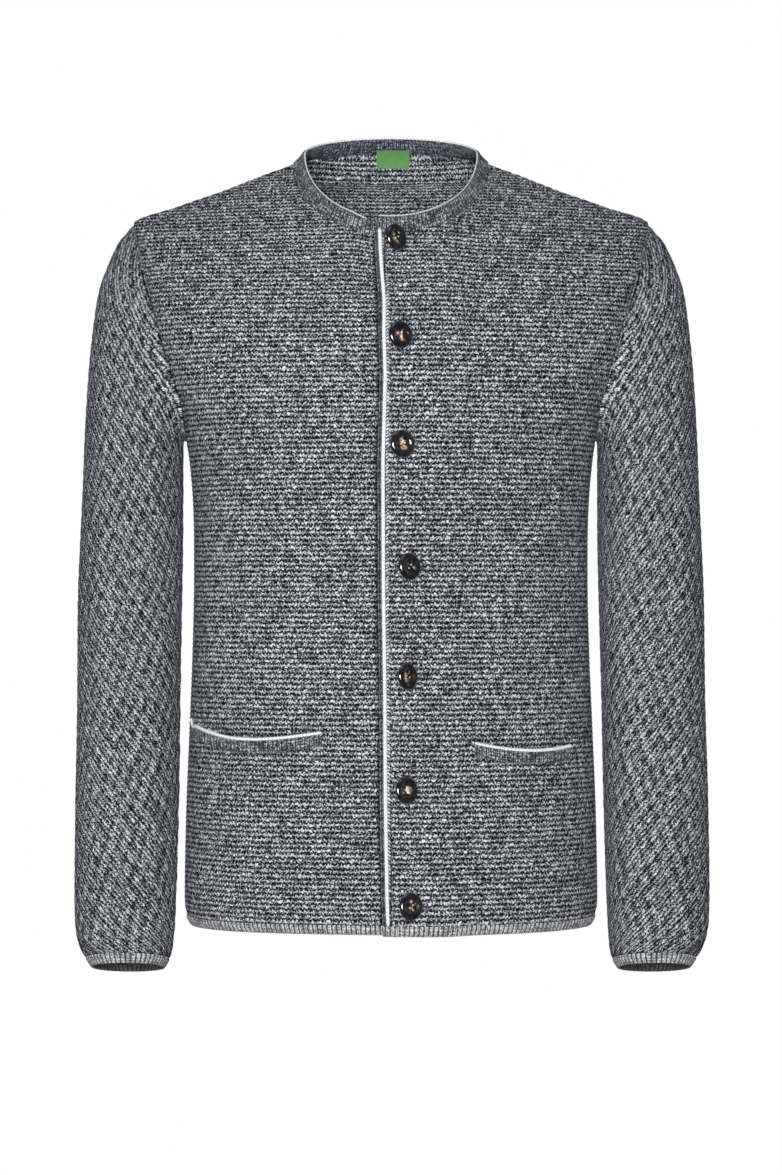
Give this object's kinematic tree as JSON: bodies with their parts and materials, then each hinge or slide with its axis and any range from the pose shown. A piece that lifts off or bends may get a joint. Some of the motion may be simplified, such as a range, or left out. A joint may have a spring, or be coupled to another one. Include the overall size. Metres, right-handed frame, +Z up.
{
  "type": "cardigan",
  "caption": "Round-neck knitted cardigan with set-in lattice-knit sleeves, light piping, inset pockets and horn buttons, buttoned and filled out as worn.",
  "frame": {"origin": "middle of the neck opening, at the height of the shoulder seams' inner ends, where the wearer's neck and shoulders hold the garment", "axes": "+Z up, -Y is the front, +X is the wearer's left"},
  "size_m": [0.561, 0.2554, 0.7501],
  "materials": {
    "body_knit": "melange wool purl knit",
    "sleeve_knit": "melange wool cable-lattice knit",
    "band_knit": "fine melange rib",
    "light_trim": "light melange rib",
    "white_cord": "white knitted cord",
    "green_label": "woven satin label",
    "horn": "polished dark horn with brown flecks"
  },
  "bodies": {
    "root": {"front_right": "body_knit", "front_left": "body_knit", "back": "body_knit", "sleeve_right": "sleeve_knit", "sleeve_left": "sleeve_knit", "neckband": "band_knit", "front_edging": "band_knit", "pocket_welt_right": "band_knit", "pocket_welt_left": "band_knit", "hem_trim_right": "light_trim", "hem_trim_left": "light_trim", "hem_trim_back": "light_trim", "cuff_trim_right": "light_trim", "cuff_trim_left": "light_trim", "neck_tipping": "white_cord", "front_piping": "white_cord", "pocket_tipping_right": "white_cord", "pocket_tipping_left": "white_cord", "neck_label": "green_label", "button_1": "horn", "button_2": "horn", "button_3": "horn", "button_4": "horn", "button_5": "horn", "button_6": "horn", "button_7": "horn"}
  },
  "joints": []
}
